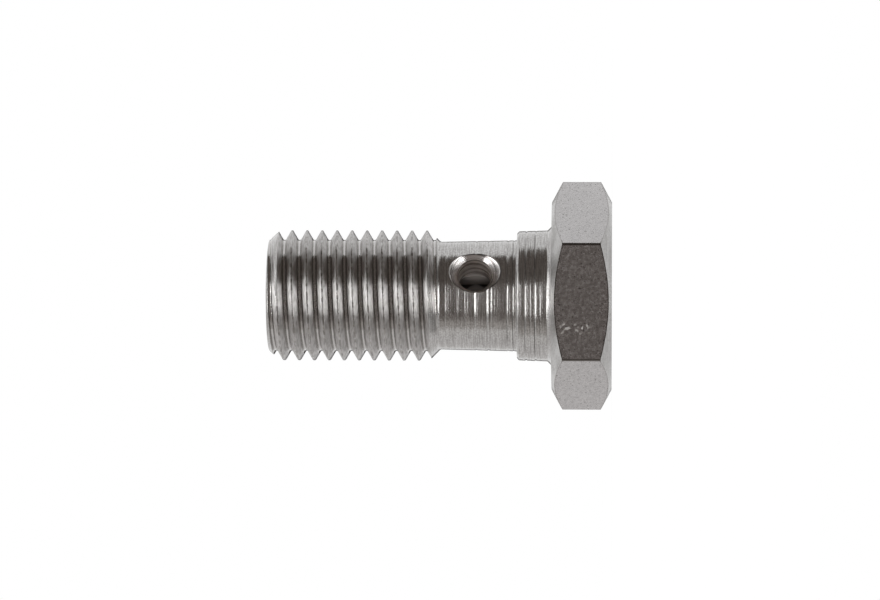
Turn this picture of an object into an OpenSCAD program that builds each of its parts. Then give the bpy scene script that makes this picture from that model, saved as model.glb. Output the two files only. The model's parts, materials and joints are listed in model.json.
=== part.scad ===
// Banjo bolt: a hollow hexagon bolt that holds a ring fitting and feeds fluid through it.
// It stands on the outer face of its head, with the thread pointing up along +Z.
// The cross drilling lies along X, in line with two corners of the hexagon.

/* [Head] */
// Width of the hexagon across its flats
head_flats_w = 14; // [13:0.01:19]
// Height of the head
head_h = 4.22; // [3:0.01:8]
// Diameter across the hexagon's corners, which are slightly broken
head_corners_d = 16.09; // [15.8:0.01:16.16]
// Diameter of the flat circle that the chamfers leave on each face of the head
head_face_d = 13.2; // [11.5:0.1:13.8]
// Angle between a face of the head and its chamfer
head_chamfer_deg = 28; // [15:1:40]

/* [Shank] */
// Diameter of the collar under the head
collar_d = 9.17; // [9:0.01:10.5]
// Length of the collar, from the head to the neck
collar_l = 2.44; // [1.5:0.01:5]
// Size of the sloped corner where the collar meets the head
collar_root = 0.3; // [0.1:0.05:0.8]
// Chamfer on the collar's free edge
collar_edge = 0.14; // [0.05:0.01:0.3]
// Diameter of the neck, which its cross hole is drilled through
neck_d = 7.71; // [7:0.01:7.8]
// Length of the neck, from the collar to the thread
neck_l = 5.41; // [5:0.01:12]

/* [Thread] */
// Outer diameter of the thread
thread_d = 9.18; // [9.1:0.01:10]
// Distance from one crest to the next
thread_pitch = 1.0583; // [0.99:0.0001:1.27]
// Length of the thread, from the neck to the end of the bolt
thread_l = 12.11; // [6:0.01:24]
// Depth of the groove, from crest to root
thread_depth = 0.675; // [0.5:0.005:0.72]
// Width of the flat left on the crest
crest_w = 0.12; // [0.05:0.01:0.15]
// Height above the outer face of the head of a crest on the X axis
thread_start = 18.15; // [17:0.01:20]
// Slope of the thread's first and last turns, from the bolt's axis
thread_end_deg = 41; // [30:1:60]
// Diameter of the end face, inside its chamfer
thread_tip_d = 7.8; // [7:0.01:8.2]
// Flat facets in one turn of the thread
thread_steps = 40; // [24:4:48]

/* [Drillings] */
// Diameter of the bore along the bolt's axis
bore_d = 2.75; // [2:0.05:4]
// Chamfer round the mouth of that bore
bore_mouth = 0.2; // [0.1:0.05:0.5]
// How far the bore's full diameter runs past the cross hole's wall
bore_past_hole = 0.3; // [0.1:0.1:1]
// Angle of the drill's point
drill_point_deg = 118; // [90:1:140]
// Diameter of the hole drilled across the neck
hole_d = 2.4; // [1.5:0.01:2.7]
// Distance from the underside of the head to the cross hole's axis
hole_from_head = 5.38; // [5:0.01:6]
// Diameter of the countersink at each end of the cross hole
countersink_d = 3.7; // [3.3:0.01:4.2]

/* [Hidden] */
$fn = 96;

cut_over = 1;
collar_z = head_h + collar_l;
neck_z = collar_z + neck_l;
top_z = neck_z + thread_l;
hole_z = head_h + hole_from_head;
bore_floor_z = hole_z - hole_d / 2 - bore_past_hole;

thread_r = thread_d / 2;
root_r = thread_r - thread_depth;
flank_w = thread_depth * tan(30);
root_w = thread_pitch - crest_w - 2 * flank_w;
// One pitch of the thread's outline, as a height and a radius, from the root below a crest
tooth = [
    [-crest_w / 2 - flank_w - root_w, root_r],
    [-crest_w / 2 - flank_w, root_r],
    [-crest_w / 2, thread_r],
    [crest_w / 2, thread_r]
];

neck_r = neck_d / 2;

// A solid that a triangle fan closes below and above, of a tooth that climbs one pitch a turn
module screw(low_z, high_z) {
    m = len(tooth);
    first = floor((low_z - thread_start) / thread_pitch) - 1;
    turns = ceil((high_z - low_z) / thread_pitch) + 3;
    last = turns * thread_steps;
    points = [
        for (k = [0 : last], p = tooth)
            let (a = 360 * k / thread_steps)
            [p[1] * cos(a), p[1] * sin(a),
             thread_start + thread_pitch * (first + k / thread_steps) + p[0]]
    ];
    ends = [
        [0, 0, points[0][2] - thread_pitch],
        [0, 0, points[len(points) - 1][2] + thread_pitch]
    ];
    low_end = len(points);
    high_end = low_end + 1;
    top_k = last - thread_steps;
    // The outline's point past the last is the first point, one turn later
    function at(k, j) = j < m ? k * m + j : (k + thread_steps) * m;
    function quad(a, b, c, d) = [[a, b, c], [a, c, d]];
    wall = [
        for (k = [0 : top_k - 1], j = [0 : m - 1])
            each quad(at(k, j), at(k, j + 1), at(k + 1, j + 1), at(k + 1, j))
    ];
    floor_fan = concat(
        [for (k = [0 : thread_steps - 1]) [low_end, at(k, 0), at(k + 1, 0)]],
        [for (j = [0 : m - 1]) [low_end, at(0, j + 1), at(0, j)]]
    );
    roof_fan = concat(
        [for (k = [top_k : last - 1]) [high_end, at(k + 1, 0), at(k, 0)]],
        [for (j = [0 : m - 1]) [high_end, at(top_k, j), at(top_k, j + 1)]]
    );
    polyhedron(concat(points, ends), concat(wall, floor_fan, roof_fan));
}

// The helical thread, sloped down to the neck and to the end face
module thread() {
    clear_r = thread_r + cut_over;
    slope = tan(thread_end_deg);
    sunk = bore_mouth / 2;
    intersection() {
        screw(neck_z, top_z);
        rotate_extrude() polygon([
            [0, neck_z - sunk / slope],
            [neck_r - sunk, neck_z - sunk / slope],
            [clear_r, neck_z + (clear_r - neck_r) / slope],
            [clear_r, top_z - (clear_r - thread_tip_d / 2) / slope],
            [thread_tip_d / 2, top_z],
            [0, top_z]
        ]);
    }
}

// The neck and the collar, turned in one piece with the head
module shank() {
    collar_r = collar_d / 2;
    inside = thread_pitch;
    rotate_extrude() polygon([
        [0, head_h / 2],
        [collar_r + collar_root, head_h / 2],
        [collar_r + collar_root, head_h],
        [collar_r, head_h + collar_root],
        [collar_r, collar_z - collar_edge],
        [collar_r - collar_edge, collar_z],
        [neck_r, collar_z],
        [neck_r, neck_z + inside],
        [0, neck_z + inside]
    ]);
}

// The hexagon, chamfered all round on both faces
module head() {
    corner_r = head_corners_d / 2;
    face_r = head_face_d / 2;
    fall = (corner_r - face_r) * tan(head_chamfer_deg);
    intersection() {
        cylinder(r = head_flats_w / 2 / cos(30), h = head_h, $fn = 6);
        rotate_extrude() polygon([
            [0, 0],
            [face_r, 0],
            [corner_r, fall],
            [corner_r, head_h - fall],
            [face_r, head_h],
            [0, head_h]
        ]);
    }
}

// The blind bore along the axis, with its drill point and the chamfer round its mouth
module axial_bore() {
    bore_r = bore_d / 2;
    rotate_extrude() polygon([
        [0, bore_floor_z - bore_r / tan(drill_point_deg / 2)],
        [bore_r, bore_floor_z],
        [bore_r, top_z - bore_mouth],
        [bore_r + bore_mouth + cut_over, top_z + cut_over],
        [0, top_z + cut_over]
    ]);
}

// The hole across the neck, countersunk on both sides
module cross_hole() {
    hole_r = hole_d / 2;
    mouth_r = countersink_d / 2 + cut_over;
    mouth_x = neck_r + cut_over;
    cone_x = mouth_x - (mouth_r - hole_r);
    translate([0, 0, hole_z]) rotate([0, 90, 0])
        rotate_extrude() polygon([
            [0, -mouth_x],
            [mouth_r, -mouth_x],
            [hole_r, -cone_x],
            [hole_r, cone_x],
            [mouth_r, mouth_x],
            [0, mouth_x]
        ]);
}

module banjo_bolt() {
    color("silver") difference() {
        union() {
            head();
            shank();
            thread();
        }
        axial_bore();
        cross_hole();
    }
}

banjo_bolt();
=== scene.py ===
import json
import math

import bmesh
import bpy
from mathutils import Matrix, Vector


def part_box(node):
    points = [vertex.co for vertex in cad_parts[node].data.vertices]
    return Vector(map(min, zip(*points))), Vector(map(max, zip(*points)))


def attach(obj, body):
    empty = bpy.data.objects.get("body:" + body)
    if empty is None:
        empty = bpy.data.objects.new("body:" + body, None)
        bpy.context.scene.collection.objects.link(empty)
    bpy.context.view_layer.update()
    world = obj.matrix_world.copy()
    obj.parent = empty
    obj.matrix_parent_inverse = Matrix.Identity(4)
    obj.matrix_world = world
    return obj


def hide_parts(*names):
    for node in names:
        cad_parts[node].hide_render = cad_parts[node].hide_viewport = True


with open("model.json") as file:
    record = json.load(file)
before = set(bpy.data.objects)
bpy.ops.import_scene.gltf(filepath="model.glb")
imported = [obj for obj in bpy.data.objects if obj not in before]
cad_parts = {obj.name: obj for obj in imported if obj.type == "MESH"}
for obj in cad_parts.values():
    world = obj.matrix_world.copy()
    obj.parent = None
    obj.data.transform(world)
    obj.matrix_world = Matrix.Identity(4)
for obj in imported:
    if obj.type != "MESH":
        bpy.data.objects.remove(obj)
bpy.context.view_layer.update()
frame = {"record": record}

metresPerMm = 0.001
mounts = {mount["name"]: mount for mount in frame["record"]["mounts"]}


def heightOf(name):
    # height of a mount above the head's outer face, in millimetres
    return mounts[name]["pos_m"][2] / metresPerMm


def radiusOf(name):
    return mounts[name]["dims"]["r_mm"]


def lengthOf(name):
    return mounts[name]["dims"]["length_mm"]


cadLow, cadHigh = (Vector(corner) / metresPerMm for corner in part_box("banjo_bolt"))

# the bolt, in millimetres; what the frame states is read from it
bolt = {
    "flats": cadHigh.y - cadLow.y,
    "corners": cadHigh.x - cadLow.x,
    "length": cadHigh.z,
    "headHeight": heightOf("under_head_seat"),
    "headFace": 13.2,          # flat circle inside the chamfers
    "headChamfer": 28,         # degrees from the face
    "collarRadius": radiusOf("collar"),
    "collarLength": 2.44,
    "collarRoot": 0.3,         # slope between collar and head
    "collarEdge": 0.14,
    "collarTaper": 0.04,       # its radius is this much more at the head, and less at the neck
    "neckAtCollar": 7.83,
    "neckAtThread": 7.59,
    "threadRadius": radiusOf("thread"),
    "threadLength": lengthOf("thread"),
    "pitch": 1.0583,
    "threadDepth": 0.675,
    "threadEnd": 41,           # degrees between its slope at the end face and the axis
    "threadFootSlope": 46,     # the same at the neck
    "crestWidth": 0.12,
    "crestHeight": 18.15,      # a crest on the X axis stands this high
    "tip": 7.8,                # end face inside its chamfer
    "boreRadius": radiusOf("axial_bore"),
    "boreMouth": 0.2,
    "holeRadius": radiusOf("cross_hole"),
    "holeHeight": heightOf("cross_hole"),
    "countersink": 3.7,
    "pointAngle": 118,
    "turnSteps": 240,          # facets round what was turned
    "threadSteps": 120,        # facets in a turn of thread
    "drillSteps": 96,          # facets round what was drilled
    "over": 1,                 # how far the cutters reach past what they cut
}
bolt["threadFoot"] = bolt["length"] - bolt["threadLength"]
bolt["collarEnd"] = bolt["headHeight"] + bolt["collarLength"]

# scores that the tool left round collar and neck: height and width, in millimetres
scores = [(5.00, 0.04), (5.34, 0.18), (5.68, 0.04), (6.01, 0.18), (6.40, 0.05), (6.89, 0.13),
          (7.29, 0.16), (8.42, 0.05), (8.67, 0.16), (9.52, 0.16), (10.25, 0.03), (10.80, 0.02),
          (11.62, 0.02)]
scoreSlope = 27            # degrees between a score's sides and the axis

# how each surface was made, in the order of the materials on the mesh
turned, drawn, threaded, drilled, countersunk = range(5)


def hexColour(code):
    # an sRGB hex value as linear red, green, blue and alpha
    parts = [int(code[i:i + 2], 16) / 255 for i in (1, 3, 5)]
    linear = [p / 12.92 if p <= 0.04045 else ((p + 0.055) / 1.055) ** 2.4 for p in parts]
    return (*linear, 1)


def addNode(tree, kind, settings=None, links=None):
    # settings are the node's own properties or its inputs; links join other nodes' outputs to its inputs
    node = tree.nodes.new(kind)
    for key, value in (settings or {}).items():
        if isinstance(key, str) and hasattr(node, key):
            setattr(node, key, value)
        else:
            node.inputs[key].default_value = value
    for key, socket in (links or {}).items():
        tree.links.new(socket, node.inputs[key])
    return node


def newMaterial(name):
    material = bpy.data.materials.new(name)
    material.use_nodes = True
    material.node_tree.nodes.clear()
    return material, material.node_tree


def placeOnBolt(tree):
    # the point's own place, in millimetres
    place = addNode(tree, "ShaderNodeTexCoord")
    return addNode(tree, "ShaderNodeVectorMath", {"operation": "SCALE", "Scale": 1 / metresPerMm},
                   {0: place.outputs["Object"]}).outputs["Vector"]


def axisOf(tree, place, name):
    return addNode(tree, "ShaderNodeSeparateXYZ", links={"Vector": place}).outputs[name]


def calculate(tree, operation, *values):
    # a maths node on numbers and other nodes' outputs
    numbers = {i: value for i, value in enumerate(values) if isinstance(value, (int, float))}
    sockets = {i: value for i, value in enumerate(values) if i not in numbers}
    return addNode(tree, "ShaderNodeMath", {"operation": operation, **numbers}, sockets).outputs[0]


def fromAxis(tree, place):
    # distance from the bolt's axis
    flat = addNode(tree, "ShaderNodeVectorMath", {"operation": "MULTIPLY", 1: (1, 1, 0)}, {0: place})
    return addNode(tree, "ShaderNodeVectorMath", {"operation": "LENGTH"},
                   {0: flat.outputs["Vector"]}).outputs["Value"]


def fade(tree, value, start, end):
    # rises from 0 at start to 1 at end
    return addNode(tree, "ShaderNodeMapRange",
                   {"interpolation_type": "SMOOTHSTEP", "From Min": start, "From Max": end},
                   {"Value": value}).outputs["Result"]


def spread(tree, amount, low, high):
    # low where the amount is 0, high where it is 1
    return addNode(tree, "ShaderNodeMapRange", {"To Min": low, "To Max": high},
                   {"Value": amount}).outputs["Result"]


def noiseOf(tree, place, size, detail=2):
    # noise with features of the given size in millimetres, one for all axes or one for each
    sizes = size if isinstance(size, tuple) else (size, size, size)
    grid = addNode(tree, "ShaderNodeVectorMath", {"operation": "DIVIDE", 1: sizes}, {0: place})
    return addNode(tree, "ShaderNodeTexNoise", {"Scale": 1, "Detail": detail},
                   {"Vector": grid.outputs["Vector"]}).outputs["Fac"]


def blend(tree, amount, under, over):
    # under where the amount is 0, over where it is 1, each an sRGB code or another node's output
    factorIn, underIn, overIn, colourOut = 0, 6, 7, 2       # the Mix node's sockets for colours
    settings = {"data_type": "RGBA"}
    links = {factorIn: amount}
    for socket, colour in ((underIn, under), (overIn, over)):
        if isinstance(colour, str):
            settings[socket] = hexColour(colour)
        else:
            links[socket] = colour
    return addNode(tree, "ShaderNodeMix", settings, links).outputs[colourOut]


def finishMetal(tree, look, colour, height, roughness=None):
    # a metal shader of the given colour, whose grain is a bump of the given height
    bump = addNode(tree, "ShaderNodeBump", {"Strength": 1, "Distance": look["depth"] * metresPerMm},
                   {"Height": height})
    settings = {"Metallic": 1}
    links = {"Base Color": colour, "Normal": bump.outputs["Normal"]}
    if roughness is None:
        settings["Roughness"] = look["roughness"]
    else:
        links["Roughness"] = roughness
    if "anisotropic" in look:
        tangent = addNode(tree, "ShaderNodeTangent", {"direction_type": "RADIAL", "axis": "Z"})
        links["Tangent"] = tangent.outputs["Tangent"]
        settings["Anisotropic"] = look["anisotropic"]
        settings["Anisotropic Rotation"] = 0.25     # a quarter turn, so highlights spread along the bolt
    shader = addNode(tree, "ShaderNodeBsdfPrincipled", settings, links)
    addNode(tree, "ShaderNodeOutputMaterial", links={"Surface": shader.outputs["BSDF"]})
    return shader


def makeTurnedSteel():
    # turned free-cutting steel, bright plated: the tool's fine rings streak it light and dark and
    # spread its highlights along the bolt
    look = {"pale": "#C0BFBE", "dark": "#9A9896", "smooth": 0.22, "chamfered": 0.34,
            "anisotropic": 0.78, "depth": 0.022,
            "rings": (4, 4, 0.09), "streaks": (1.6, 1.6, 0.07), "grain": 0.1}
    faceDensity = 0.6          # how dense the rings are on a flat face, against those on a cylinder
    seatWidth = 1              # how far out from the collar the head is as smooth as the collar
    material, tree = newMaterial("turnedSteel")
    place = placeOnBolt(tree)
    # rings that follow the height on a cylinder and the radius on a flat face
    radius = fromAxis(tree, place)
    outward = calculate(tree, "MULTIPLY", radius, faceDensity)
    lift = addNode(tree, "ShaderNodeCombineXYZ", links={"Z": outward})
    cut = addNode(tree, "ShaderNodeVectorMath", {"operation": "ADD"},
                  {0: place, 1: lift.outputs["Vector"]}).outputs["Vector"]
    rings = noiseOf(tree, cut, look["rings"])
    streaks = noiseOf(tree, cut, look["streaks"], 3)
    grain = noiseOf(tree, place, look["grain"], 3)
    both = calculate(tree, "ADD", streaks, grain)
    colour = blend(tree, fade(tree, both, 0.72, 1.28), look["dark"], look["pale"])
    onHead = fade(tree, radius, bolt["collarRadius"] + seatWidth, bolt["headFace"] / 2)
    finishMetal(tree, look, colour, rings, spread(tree, onHead, look["smooth"], look["chamfered"]))
    return material


def makeDrawnSteel():
    # cold-drawn hexagon bar, bright plated: mottled and finely pitted, with painted shade as a dark line
    # along the chamfers' edges, strongest on one flat, and along the corners; that flat is the one the
    # spanner turned on, and has scuffs
    # the edge and corner colours are painted shade lines
    look = {"pale": "#C3C1C1", "dark": "#A6A4A4", "pit": "#6F6C6A", "edge": "#726E6B", "corner": "#6B6764",
            "scuff": "#D8D6D4", "smooth": 0.18, "rough": 0.4, "scuffed": 0.62, "depth": 0.006,
            "coarse": 0.22, "fine": 0.08, "pitSize": 0.12, "scuffSize": 0.26}
    edgeWidth = 0.09
    shadeLineElsewhere = 0.35       # strength of the chamfers' painted shade line on the other flats
    cornerShadeWidth = 0.03
    flatAngle = math.radians(-30)      # direction that the spanner's flat faces, from +X; the chamfers' painted shade is strongest there
    scuffsAcross = (-2.5, -1.2)        # where the scuffs lie on that flat
    scuffsUp = (1.3, 3.9)
    scuffFade = 0.4
    flat = bolt["flats"] / 2
    corner = bolt["corners"] / 2
    material, tree = newMaterial("drawnSteel")
    place = placeOnBolt(tree)
    mottle = calculate(tree, "ADD", noiseOf(tree, place, look["coarse"], 4),
                       noiseOf(tree, place, look["fine"]))
    colour = blend(tree, fade(tree, mottle, 0.75, 1.25), look["dark"], look["pale"])
    pits = fade(tree, noiseOf(tree, place, look["pitSize"], 1), 0.35, 0.28)
    colour = blend(tree, pits, colour, look["pit"])

    # distance from the nearer chamfer, measured up the flat
    x, y, z = (axisOf(tree, place, name) for name in "XYZ")
    nearFace = calculate(tree, "MINIMUM", z, calculate(tree, "SUBTRACT", bolt["headHeight"], z))
    radius = fromAxis(tree, place)
    fall = calculate(tree, "MULTIPLY", calculate(tree, "SUBTRACT", radius, bolt["headFace"] / 2),
                     math.tan(math.radians(bolt["headChamfer"])))
    outward = calculate(tree, "ADD", calculate(tree, "MULTIPLY", x, math.cos(flatAngle)),
                        calculate(tree, "MULTIPLY", y, math.sin(flatAngle)))
    # painted shade: a dark line along the chamfers' edges, full on the spanner's flat and weaker on the
    # others
    edge = fade(tree, calculate(tree, "SUBTRACT", nearFace, fall), edgeWidth, edgeWidth / 2)
    onFlat = fade(tree, outward, flat - 0.4, flat - 0.1)
    edge = calculate(tree, "MULTIPLY", edge, spread(tree, onFlat, shadeLineElsewhere, 1))
    colour = blend(tree, edge, colour, look["edge"])
    # painted shade: a dark line along the hexagon's rounded corners
    cornerShade = fade(tree, radius, corner - cornerShadeWidth, corner - cornerShadeWidth / 3)
    colour = blend(tree, cornerShade, colour, look["corner"])

    across = calculate(tree, "SUBTRACT", calculate(tree, "MULTIPLY", y, math.cos(flatAngle)),
                       calculate(tree, "MULTIPLY", x, math.sin(flatAngle)))
    scuffs = fade(tree, noiseOf(tree, place, look["scuffSize"], 1), 0.5, 0.66)
    for value, (start, end) in ((across, scuffsAcross), (z, scuffsUp), (outward, (flat - 0.5, flat + 0.5))):
        within = calculate(tree, "MULTIPLY", fade(tree, value, start, start + scuffFade),
                           fade(tree, value, end, end - scuffFade))
        scuffs = calculate(tree, "MULTIPLY", scuffs, within)
    colour = blend(tree, scuffs, colour, look["scuff"])
    worn = spread(tree, scuffs, 0, look["scuffed"])
    roughness = calculate(tree, "MAXIMUM", worn,
                          spread(tree, fade(tree, mottle, 0.8, 1.25), look["smooth"], look["rough"]))
    finishMetal(tree, look, colour, mottle, roughness)
    return material


def makeThreadSteel():
    # the thread as the die leaves it: bright but brushed ridges with a torn crest, smoother lower down the
    # flanks, which are painted greyer there as shade in the groove, and a pale line of painted highlight at
    # the root
    # flank is the painted shade low in the groove, root the painted highlight along its floor
    look = {"ridge": "#D1CFCE", "streak": "#B5B3B1", "flank": "#AEACAA", "root": "#BAB8B7",
            "torn": "#5F5B58", "brushed": 0.5, "smooth": 0.14, "anisotropic": 1, "depth": 0.02,
            "tears": (0.5, 0.5, 0.09), "patches": 0.4}
    root = bolt["threadRadius"] - bolt["threadDepth"]
    crest = bolt["threadRadius"]
    smoothTo = root + 0.1
    brushedFrom = root + 0.27
    lineWidth = 0.014          # of the root's painted highlight and the crest's torn line, measured outwards
    material, tree = newMaterial("threadSteel")
    place = placeOnBolt(tree)
    radius = fromAxis(tree, place)
    tears = noiseOf(tree, place, look["tears"])
    ridge = blend(tree, fade(tree, tears, 0.35, 0.6), look["streak"], look["ridge"])
    # brushed and bright on the upper flanks; lower down smoother and painted greyer, as shade in the groove
    brushed = fade(tree, radius, smoothTo, brushedFrom)
    colour = blend(tree, brushed, look["flank"], ridge)
    # painted highlight: a pale line along the root
    rootHighlight = fade(tree, radius, root + lineWidth, root + 0.004)
    colour = blend(tree, rootHighlight, colour, look["root"])
    torn = calculate(tree, "MULTIPLY", fade(tree, radius, crest - lineWidth, crest - 0.006),
                     fade(tree, noiseOf(tree, place, look["patches"]), 0.49, 0.57))
    colour = blend(tree, torn, colour, look["torn"])
    roughness = spread(tree, brushed, look["smooth"], look["brushed"])
    finishMetal(tree, look, colour, tears, roughness)
    return material


def makeDrilledSteel():
    # drilled: brown and ringed by the drill in the near wall, where the plating thins out, with a bright
    # edge where it meets the bore, grey in the bore, and painted shade that darkens the wall beyond it
    look = {"wall": "#FBF5F0", "ring": "#BDB4AE", "deep": "#BBB5B1", "far": "#5C5855", "edge": "#F6F1ED",
            "glancing": "#A0A0A0", "roughness": 0.6, "depth": 0.03, "feed": 0.2}
    edgeAt = 0.72              # inner side of the bright edge, along the hole from the bolt's axis
    edgeWidth = 0.3
    farShadeAt = -0.6               # where the painted shade of the wall beyond the bore starts
    material, tree = newMaterial("drilledSteel")
    place = placeOnBolt(tree)
    x = axisOf(tree, place, "X")
    rings = noiseOf(tree, place, (look["feed"], 6, 6), 1)
    colour = blend(tree, fade(tree, rings, 0.4, 0.6), look["ring"], look["wall"])
    colour = blend(tree, fade(tree, x, edgeAt + edgeWidth + 0.1, edgeAt + edgeWidth), colour, look["edge"])
    colour = blend(tree, fade(tree, x, edgeAt + 0.02, edgeAt - 0.06), colour, look["deep"])
    # painted shade: the wall beyond the bore darkened
    colour = blend(tree, fade(tree, x, farShadeAt, farShadeAt - 0.1), colour, look["far"])
    shader = finishMetal(tree, look, colour, rings)
    shader.inputs["Specular Tint"].default_value = hexColour(look["glancing"])
    return material


def makeCountersunkSteel():
    # the countersink's cone, cut clean: two bright crescents, lined by the tool, inside a dark rim of
    # painted shade
    look = {"pale": "#E0DEDD", "line": "#8C8886", "rim": "#3E3B39", "roughness": 0.25, "depth": 0.006,
            "feed": 0.1}
    rimShadeWidth = 0.07
    rimShadeFade = 0.04
    rimShadeStart = neckRadiusAt(bolt["holeHeight"]) - rimShadeWidth
    material, tree = newMaterial("countersunkSteel")
    place = placeOnBolt(tree)
    rings = noiseOf(tree, place, (look["feed"], 6, 6), 1)
    colour = blend(tree, fade(tree, rings, 0.38, 0.55), look["line"], look["pale"])
    # painted shade: a dark rim where the cone meets the neck
    rim = fade(tree, fromAxis(tree, place), rimShadeStart, rimShadeStart + rimShadeFade)
    colour = blend(tree, rim, colour, look["rim"])
    finishMetal(tree, look, colour, rings)
    return material


def newOutline(points):
    # an open outline in the XZ plane, from the radius, height and rounding of each point
    bm = bmesh.new()
    verts = [bm.verts.new((radius, 0, height)) for radius, height, rounding in points]
    for pair in zip(verts, verts[1:]):
        bm.edges.new(pair)
    for vert, (radius, height, rounding) in zip(verts, points):
        if rounding > 0:
            bmesh.ops.bevel(bm, geom=[vert], offset=rounding, segments=3, profile=0.5,
                            affect="VERTICES", material=-1)
    return bm


def turnOutline(bm, steps):
    # spins the outline once round the Z axis and closes it at the poles
    touching = 1e-4
    bmesh.ops.spin(bm, geom=bm.verts[:] + bm.edges[:], cent=(0, 0, 0), axis=(0, 0, 1),
                   angle=2 * math.pi, steps=steps, use_merge=True)
    bmesh.ops.remove_doubles(bm, verts=bm.verts, dist=touching)
    bmesh.ops.recalc_face_normals(bm, faces=bm.faces)


def newPiece(name, bm, finish):
    mesh = bpy.data.meshes.new(name)
    for face in bm.faces:
        face.material_index = finish
    bm.to_mesh(mesh)
    bm.free()
    for material in steels:
        mesh.materials.append(material)
    piece = bpy.data.objects.new(name, mesh)
    bpy.context.collection.objects.link(piece)
    return piece


def combine(piece, tool, operation):
    # cuts or crosses a piece with a tool, and removes the tool
    modifier = piece.modifiers.new("combine", "BOOLEAN")
    modifier.operation = operation
    modifier.solver = "EXACT"
    modifier.object = tool
    depsgraph = bpy.context.evaluated_depsgraph_get()
    mesh = bpy.data.meshes.new_from_object(piece.evaluated_get(depsgraph))
    piece.modifiers.clear()
    piece.data = mesh
    bpy.data.objects.remove(tool)


def mend(piece):
    # joins the points that the cuts left on top of each other
    touching = 2e-5
    bm = bmesh.new()
    bm.from_mesh(piece.data)
    bmesh.ops.remove_doubles(bm, verts=bm.verts, dist=touching)
    bmesh.ops.dissolve_degenerate(bm, edges=bm.edges, dist=touching)
    bmesh.ops.recalc_face_normals(bm, faces=bm.faces)
    bm.to_mesh(piece.data)
    bm.free()


def makeBar():
    # a length of hexagon bar with two corners on the X axis, rounded to the head's size across corners
    over = bolt["over"]
    corner = bolt["flats"] / 2 / math.cos(math.pi / 6)
    rounding = (corner - bolt["corners"] / 2) / (1 / math.cos(math.pi / 6) - 1)
    bm = bmesh.new()
    bmesh.ops.create_circle(bm, cap_ends=True, segments=6, radius=corner,
                            matrix=Matrix.Rotation(math.pi / 6, 4, "Z"))
    up = bmesh.ops.extrude_face_region(bm, geom=bm.faces[:])
    risen = [v for v in up["geom"] if isinstance(v, bmesh.types.BMVert)]
    bmesh.ops.translate(bm, verts=risen, vec=(0, 0, bolt["length"] + 2 * over))
    bmesh.ops.translate(bm, verts=bm.verts, vec=(0, 0, -over))
    upright = [e for e in bm.edges if abs(e.verts[0].co.z - e.verts[1].co.z) > over]
    bmesh.ops.bevel(bm, geom=upright, offset=rounding * math.tan(math.pi / 6), segments=5,
                    profile=0.5, affect="EDGES", material=-1)
    bmesh.ops.recalc_face_normals(bm, faces=bm.faces)
    return newPiece("hexagonBar", bm, drawn)


def neckRadiusAt(height):
    along = (height - bolt["collarEnd"]) / (bolt["threadFoot"] - bolt["collarEnd"])
    return (bolt["neckAtCollar"] + (bolt["neckAtThread"] - bolt["neckAtCollar"]) * along) / 2


def collarRadiusAt(height):
    along = (height - bolt["headHeight"]) / bolt["collarLength"]
    return bolt["collarRadius"] + bolt["collarTaper"] * (1 - 2 * along)


def scoreOutline(fromHeight, toHeight, radiusAt):
    # the scores between two heights, as notches in the outline
    points = []
    for height, width in scores:
        if fromHeight < height < toHeight:
            depth = width / 2 * math.tan(math.radians(scoreSlope))
            points += [(radiusAt(height), height - width / 2, 0), (radiusAt(height) - depth, height, 0),
                       (radiusAt(height), height + width / 2, 0)]
    return points


def makeTurnedForm():
    # everything the lathe leaves: the head's chamfers, collar, neck and the blank of the thread
    reach = bolt["corners"] / 2 + bolt["over"]
    face = bolt["headFace"] / 2
    fall = (reach - face) * math.tan(math.radians(bolt["headChamfer"]))
    head = bolt["headHeight"]
    root = bolt["collarRoot"]
    edge = bolt["collarEdge"]
    foot = bolt["threadFoot"]
    top = bolt["length"]
    tip = bolt["tip"] / 2
    blank = bolt["threadRadius"]
    slope = math.tan(math.radians(bolt["threadEnd"]))
    footSlope = math.tan(math.radians(bolt["threadFootSlope"]))
    rim = 0.06                 # roundings: on the head's rims
    fillet = 0.1               # in the neck's corners
    rootRounding = 0.05        # on both sides of the slope between head and collar
    edgeRounding = 0.02        # on the chamfer of the collar's free edge
    tipRounding = 0.08         # on the rim of the end face
    end = bolt["collarEnd"]
    points = [
        (0, 0, 0), (face, 0, rim), (reach, fall, 0), (reach, head - fall, 0), (face, head, rim),
        (collarRadiusAt(head) + root, head, rootRounding),
        (collarRadiusAt(head + root), head + root, rootRounding),
        *scoreOutline(head, end, collarRadiusAt),
        (collarRadiusAt(end - edge), end - edge, edgeRounding),
        (collarRadiusAt(end) - edge, end, edgeRounding),
        (neckRadiusAt(end), end, fillet),
        *scoreOutline(end, foot, neckRadiusAt),
        (neckRadiusAt(foot), foot, fillet), (blank, foot + (blank - neckRadiusAt(foot)) / footSlope, 0),
        (blank, top - (blank - tip) / slope, 0), (tip, top, tipRounding), (0, top, 0),
    ]
    bm = newOutline(points)
    turnOutline(bm, bolt["turnSteps"])
    return newPiece("turnedForm", bm, turned)


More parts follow.
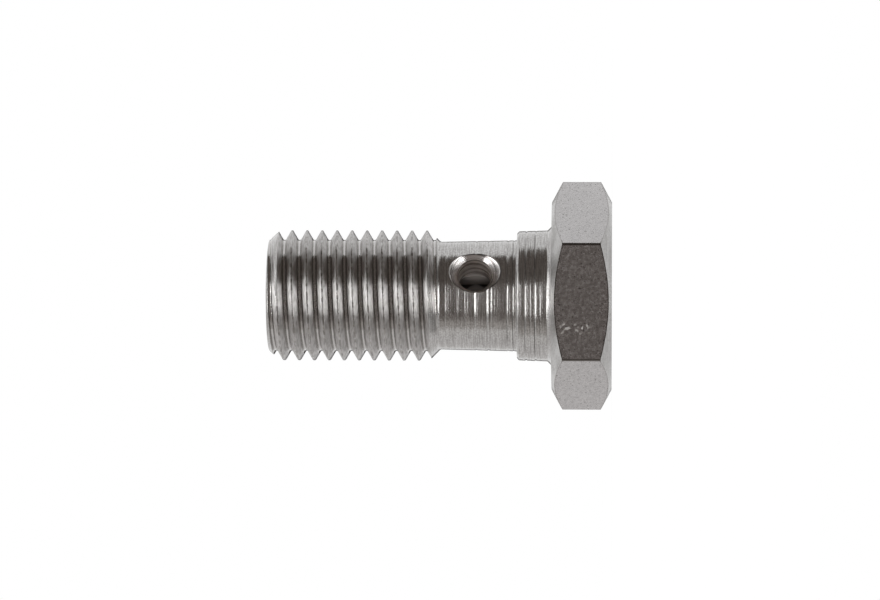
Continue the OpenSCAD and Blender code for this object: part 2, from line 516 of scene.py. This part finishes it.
def makeGroove():
    # the cutter that leaves the thread: its section climbs one pitch a turn, and its shoulders
    # round the crest over
    depth = bolt["threadDepth"]
    flank = math.tan(math.pi / 6)
    crest = bolt["crestWidth"] / 2
    pitch = bolt["pitch"]
    blank = bolt["threadRadius"]
    outer = blank + bolt["over"] / 10
    shoulderSink = 0.012       # how far below the crest the shoulder starts
    shoulderClear = 0.012      # half the gap between one turn of the cutter and the next
    shoulderRise = 0.006
    shoulderRounding = 0.02
    floorHalf = pitch / 2 - crest - depth * flank
    floorRounding = 0.7 * floorHalf
    halfSection = [
        (blank - depth, floorHalf, floorRounding),
        (blank - shoulderSink, pitch / 2 - crest - shoulderSink * flank, shoulderRounding),
        (blank + shoulderRise, pitch / 2 - shoulderClear, 0),
        (outer, pitch / 2 - shoulderClear, 0),
    ]
    below = math.ceil((bolt["crestHeight"] - bolt["threadFoot"]) / pitch) + 1
    start = bolt["crestHeight"] - (below - 0.5) * pitch
    turns = math.ceil((bolt["length"] - start) / pitch) + 1
    section = [(radius, start + height, rounding) for radius, height, rounding in reversed(halfSection)]
    section += [(radius, start - height, rounding) for radius, height, rounding in halfSection]
    bm = newOutline(section)
    ends = [v for v in bm.verts if len(v.link_edges) == 1]
    bm.edges.new(ends)
    bmesh.ops.spin(bm, geom=bm.verts[:] + bm.edges[:], cent=(0, 0, 0), axis=(0, 0, 1),
                   dvec=(0, 0, pitch / bolt["threadSteps"]), angle=2 * math.pi * turns,
                   steps=turns * bolt["threadSteps"])
    bmesh.ops.holes_fill(bm, edges=[e for e in bm.edges if e.is_boundary])
    bmesh.ops.recalc_face_normals(bm, faces=bm.faces)
    return newPiece("groove", bm, threaded)


def makeBoreCutter():
    radius = bolt["boreRadius"]
    top = bolt["length"]
    mouth = bolt["boreMouth"]
    over = bolt["over"]
    bottom = top - mouth - lengthOf("axial_bore")
    point = bottom - radius / math.tan(math.radians(bolt["pointAngle"] / 2))
    bm = newOutline([(0, point, 0), (radius, bottom, 0), (radius, top - mouth, 0),
                     (radius + mouth + over, top + over, 0), (0, top + over, 0)])
    turnOutline(bm, bolt["drillSteps"])
    return newPiece("boreCutter", bm, drilled)


def makeHoleCutter(side):
    # half of the cross hole and its countersink, spun upright and then laid along X
    radius = bolt["holeRadius"]
    wide = bolt["countersink"] / 2
    over = bolt["over"]
    past = over / 10           # how far each half reaches past the bolt's axis
    edgeRounding = 0.06
    neck = neckRadiusAt(bolt["holeHeight"])
    bm = newOutline([(0, -past, 0), (radius, -past, 0), (radius, neck - wide + radius, edgeRounding),
                     (wide + over, neck + over, 0), (0, neck + over, 0)])
    turnOutline(bm, bolt["drillSteps"])
    # faces that look neither along the hole nor square to it are the countersink's
    sloped = [0.3 < abs(face.normal.z) < 0.9 for face in bm.faces]
    bmesh.ops.rotate(bm, verts=bm.verts, matrix=Matrix.Rotation(side * math.pi / 2, 3, "Y"))
    bmesh.ops.translate(bm, verts=bm.verts, vec=(0, 0, bolt["holeHeight"]))
    cutter = newPiece("holeCutter", bm, drilled)
    for face, isSloped in zip(cutter.data.polygons, sloped):
        if isSloped:
            face.material_index = countersunk
    return cutter


def makeBolt():
    creaseAngle = 26           # degrees; flatter edges are shaded smooth
    piece = makeBar()
    combine(piece, makeTurnedForm(), "INTERSECT")
    print("blank turned", len(piece.data.polygons))
    combine(piece, makeGroove(), "DIFFERENCE")
    print("thread cut", len(piece.data.polygons))
    combine(piece, makeBoreCutter(), "DIFFERENCE")
    for side in (1, -1):
        combine(piece, makeHoleCutter(side), "DIFFERENCE")
    mend(piece)
    print("drilled", len(piece.data.polygons))
    mesh = piece.data
    mesh.transform(Matrix.Scale(metresPerMm, 4))
    mesh.shade_smooth()
    mesh.set_sharp_from_angle(angle=math.radians(creaseAngle))
    piece.name = "turnedBolt"
    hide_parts("banjo_bolt")
    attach(piece, "root")


# where the photograph was taken from, in millimetres; angles are round the bolt's axis, from +X
photoView = {
    "azimuth": -26.5,
    "distance": 330,
    "footHeight": 0.46,        # height at which the view is square on to the axis
    "aimHeight": 12.12,
    "aimOff": -0.308,          # the picture's middle lies this far below the axis
    "roll": 0.15,
    "lens": 191.3,
}


def makeCamera():
    angle = math.radians(photoView["azimuth"])
    toViewer = Vector((math.cos(angle), math.sin(angle), 0))
    pictureUp = Vector((-math.sin(angle), math.cos(angle), 0))
    along = Vector((0, 0, 1))
    place = toViewer * photoView["distance"] + along * photoView["footHeight"]
    aim = along * photoView["aimHeight"] + pictureUp * photoView["aimOff"]
    back = (place - aim).normalized()
    right = pictureUp.cross(back).normalized()
    up = back.cross(right)
    turn = Matrix((right, up, back)).transposed() @ Matrix.Rotation(math.radians(photoView["roll"]), 3, "Z")
    data = bpy.data.cameras.new("camera")
    data.lens = photoView["lens"]
    data.sensor_width = 36
    data.clip_start = 0.01
    data.clip_end = 5
    camera = bpy.data.objects.new("camera", data)
    bpy.context.collection.objects.link(camera)
    camera.matrix_world = Matrix.Translation(place * metresPerMm) @ turn.to_4x4()
    bpy.context.scene.camera = camera


# the studio, as cards curved round the bolt. Their angles start at the camera and go up in the
# picture, and their reach along the axis is in radii
cards = {
    "topFlag": {"angles": (27, 94), "reach": (-2.2, 2.2), "colour": "#665F5A", "strength": 1},
    "cameraFlag": {"angles": (-45, 27), "reach": (-1, 1), "colour": "#7A736F", "strength": 1},
    "headSideLamp": {"angles": (-48, 27), "reach": (-6, -1), "colour": "#FFFFFF", "strength": 5.5},
    "threadSideLamp": {"angles": (-48, 27), "reach": (1, 6), "colour": "#FFFFFF", "strength": 5.5},
    "headTopLamp": {"angles": (27, 94), "reach": (-6, -2.2), "colour": "#FFFFFF", "strength": 3},
    "threadTopLamp": {"angles": (27, 94), "reach": (2.2, 6), "colour": "#FFFFFF", "strength": 3},
    "lowCard": {"angles": (-57, -45), "reach": (-1, 1), "colour": "#938D89", "strength": 1},
    "lowMidCard": {"angles": (-76, -57), "reach": (-1, 1), "colour": "#BDB8B4", "strength": 1},
    "lowEndCard": {"angles": (-95, -76), "reach": (-1, 1), "colour": "#EAE8E6", "strength": 1},
    "underCard": {"angles": (-150, -95), "reach": (-4, 4), "colour": "#E9E7E6", "strength": 1},
    "backFlag": {"angles": (162, 198), "reach": (-0.2, 0.2), "colour": "#4A4542", "strength": 1},
    "endFlag": {"angles": (130, 230), "reach": (2.4, 8), "colour": "#4A4542", "strength": 1},
}
cardRadius = 0.6               # metres
cardSteps = 24


def makeCard(name, card):
    fromDeg, toDeg = card["angles"]
    bm = bmesh.new()
    verts = [bm.verts.new((cardRadius, 0, reach * cardRadius)) for reach in card["reach"]]
    edge = bm.edges.new(verts)
    bmesh.ops.rotate(bm, verts=verts, matrix=Matrix.Rotation(
        math.radians(photoView["azimuth"] + fromDeg), 3, "Z"))
    bmesh.ops.spin(bm, geom=verts + [edge], cent=(0, 0, 0), axis=(0, 0, 1),
                   angle=math.radians(toDeg - fromDeg), steps=cardSteps)
    bmesh.ops.translate(bm, verts=bm.verts, vec=(0, 0, bolt["length"] / 2 * metresPerMm))
    mesh = bpy.data.meshes.new(name)
    bm.to_mesh(mesh)
    bm.free()
    sheet = bpy.data.objects.new(name, mesh)
    bpy.context.collection.objects.link(sheet)
    material, tree = newMaterial(name + "Paper")
    glow = addNode(tree, "ShaderNodeEmission",
                   {"Color": hexColour(card["colour"]), "Strength": card["strength"]})
    addNode(tree, "ShaderNodeOutputMaterial", links={"Surface": glow.outputs["Emission"]})
    mesh.materials.append(material)
    sheet.visible_camera = False
    sheet.visible_diffuse = False
    sheet.visible_shadow = False


def makeWorld():
    # white where the camera, a reflection or a refraction looks, and a little less as light
    asLight = 0.9
    world = bpy.data.worlds.new("studio")
    bpy.context.scene.world = world
    world.use_nodes = True
    tree = world.node_tree
    tree.nodes.clear()
    paths = addNode(tree, "ShaderNodeLightPath")
    seen = addNode(tree, "ShaderNodeMath", {"operation": "MAXIMUM"},
                   {0: paths.outputs["Is Camera Ray"], 1: paths.outputs["Is Glossy Ray"]})
    seenToo = addNode(tree, "ShaderNodeMath", {"operation": "MAXIMUM"},
                      {0: seen.outputs[0], 1: paths.outputs["Is Transmission Ray"]})
    sky = addNode(tree, "ShaderNodeBackground", {"Color": hexColour("#FFFFFF")},
                  {"Strength": spread(tree, seenToo.outputs[0], asLight, 1)})
    addNode(tree, "ShaderNodeOutputWorld", links={"Surface": sky.outputs["Background"]})


# the floor: half its side in metres, its glow, and the glow's share against the paper that takes the shadow
floorPaper = {"reach": 3, "colour": "#FFFFFF", "glow": 1.02, "glowShare": 0.85}


def makeGround():
    # pale paper that keeps the bolt's soft shadow
    bm = bmesh.new()
    bmesh.ops.create_grid(bm, x_segments=1, y_segments=1, size=floorPaper["reach"])
    mesh = bpy.data.meshes.new("ground")
    bm.to_mesh(mesh)
    bm.free()
    ground = bpy.data.objects.new("ground", mesh)
    bpy.context.collection.objects.link(ground)
    material, tree = newMaterial("palePaper")
    colour = hexColour(floorPaper["colour"])
    paper = addNode(tree, "ShaderNodeBsdfDiffuse", {"Color": colour})
    glow = addNode(tree, "ShaderNodeEmission", {"Color": colour, "Strength": floorPaper["glow"]})
    mix = addNode(tree, "ShaderNodeMixShader", {0: floorPaper["glowShare"]},
                  {1: paper.outputs[0], 2: glow.outputs[0]})
    addNode(tree, "ShaderNodeOutputMaterial", links={"Surface": mix.outputs[0]})
    mesh.materials.append(material)
    ground.visible_glossy = False


def makeStage():
    bpy.context.scene.view_settings.view_transform = "Standard"
    makeWorld()
    makeGround()
    for name, card in cards.items():
        makeCard(name, card)


steels = [makeTurnedSteel(), makeDrawnSteel(), makeThreadSteel(), makeDrilledSteel(), makeCountersunkSteel()]
makeCamera()
makeBolt()
makeStage()
